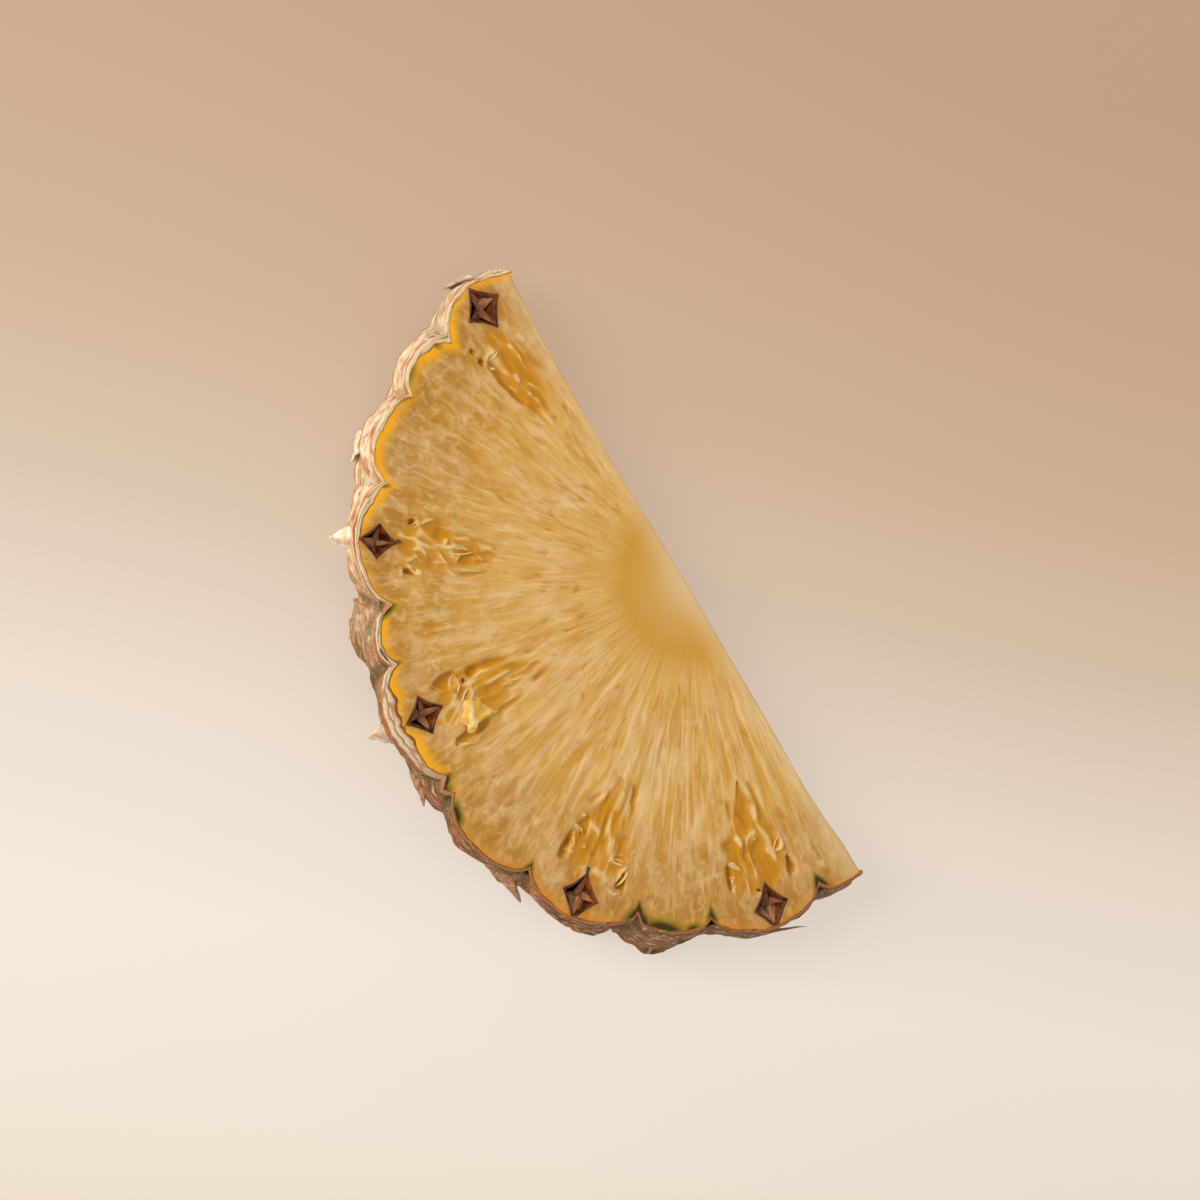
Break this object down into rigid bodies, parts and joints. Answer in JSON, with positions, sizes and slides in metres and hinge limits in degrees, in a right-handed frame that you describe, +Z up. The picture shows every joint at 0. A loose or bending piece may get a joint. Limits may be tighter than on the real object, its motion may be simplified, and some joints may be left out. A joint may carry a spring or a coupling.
{
  "type": "pineapple wedge",
  "caption": "Half of a round slice of ripe pineapple with its rind left on, lying flat on a cut face. Garnish, snack or dessert fruit.",
  "frame": {"origin": "on the surface that the wedge lies on, under the middle of its outline", "axes": "+Z up through the slice's thickness, +X along the straight cut, +Y from the straight cut to the rind"},
  "size_m": [0.1302, 0.0651, 0.0115],
  "materials": {
    "flesh": "moist, fibrous, satin to glossy",
    "rind": "dry, papery, rough",
    "bract": "dry, matt",
    "seed": "smooth, slightly glossy"
  },
  "bodies": {
    "root": {"wedge": "flesh"}
  },
  "joints": []
}
